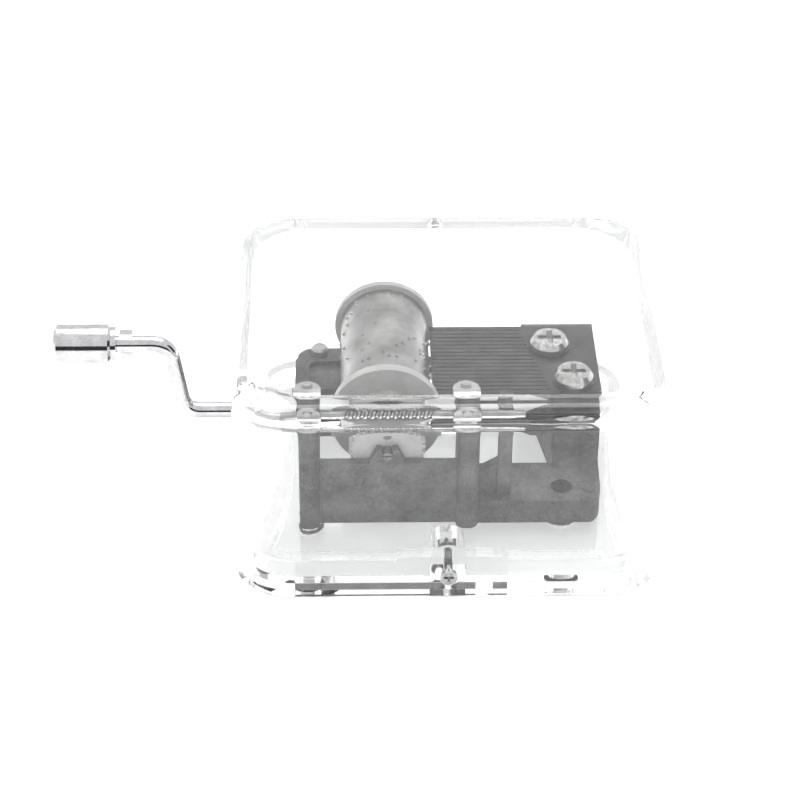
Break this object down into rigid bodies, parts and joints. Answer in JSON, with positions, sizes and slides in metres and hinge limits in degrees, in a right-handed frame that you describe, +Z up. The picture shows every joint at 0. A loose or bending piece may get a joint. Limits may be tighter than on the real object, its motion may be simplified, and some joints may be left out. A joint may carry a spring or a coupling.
{
  "type": "hand crank music box",
  "caption": "Hand crank music box: pinned drum, steel comb and worm-driven crank shaft on a cast frame in a clear rounded case with a bent wire crank.",
  "frame": {"origin": "middle of the case's flat underside, under the middle of the case footprint", "axes": "+X to the right with the crank on the left, +Y away from the front towards the back, +Z up"},
  "size_m": [0.0835, 0.051, 0.035],
  "materials": {
    "clear_acrylic": "clear, polished",
    "bright_screws": "plated, bright",
    "cast_zinc": "as cast, matt grey zinc",
    "strap_steel": "plated sheet, satin",
    "chrome_wire": "polished",
    "white_plastic": "moulded, slightly translucent",
    "drum_nickel": "brushed nickel",
    "axle_steel": "turned steel",
    "comb_steel": "ground and hardened"
  },
  "bodies": {
    "case": {"top_cover": "clear_acrylic", "base_plate": "clear_acrylic", "case_screws": "bright_screws", "movement_screws": "bright_screws", "bedplate": "cast_zinc", "shaft_strap_left": "strap_steel", "shaft_strap_right": "strap_steel", "strap_rivets": "strap_steel", "frame_rivet": "strap_steel", "comb": "comb_steel", "comb_washers": "bright_screws", "comb_screws": "bright_screws"},
    "crank": {"worm_shaft": "chrome_wire", "crank_wire": "chrome_wire"},
    "knob": {"knob": "chrome_wire", "knob_collar": "chrome_wire"},
    "drum": {"drum_wheel": "white_plastic", "drum_cylinder": "drum_nickel", "rear_end_disc": "white_plastic", "drum_axle": "axle_steel"}
  },
  "joints": [
    {"name": "crank_turn", "type": "hinge", "parent": "case", "child": "crank", "pos_m": [0, -0.0101, 0.02115], "axis": [1, 0, 0], "continuous": true},
    {"name": "knob_spin", "type": "hinge", "parent": "crank", "child": "knob", "pos_m": [-0.0497, -0.0101, 0.03225], "axis": [1, 0, 0], "continuous": true},
    {"name": "drum_turn", "type": "hinge", "parent": "case", "child": "drum", "pos_m": [-0.00835, 0, 0.0149], "axis": [0, 1, 0], "continuous": true}
  ],
  "couplings": [
    {"joint": "drum_turn", "follows": "crank_turn", "ratio": -0.030303}
  ]
}
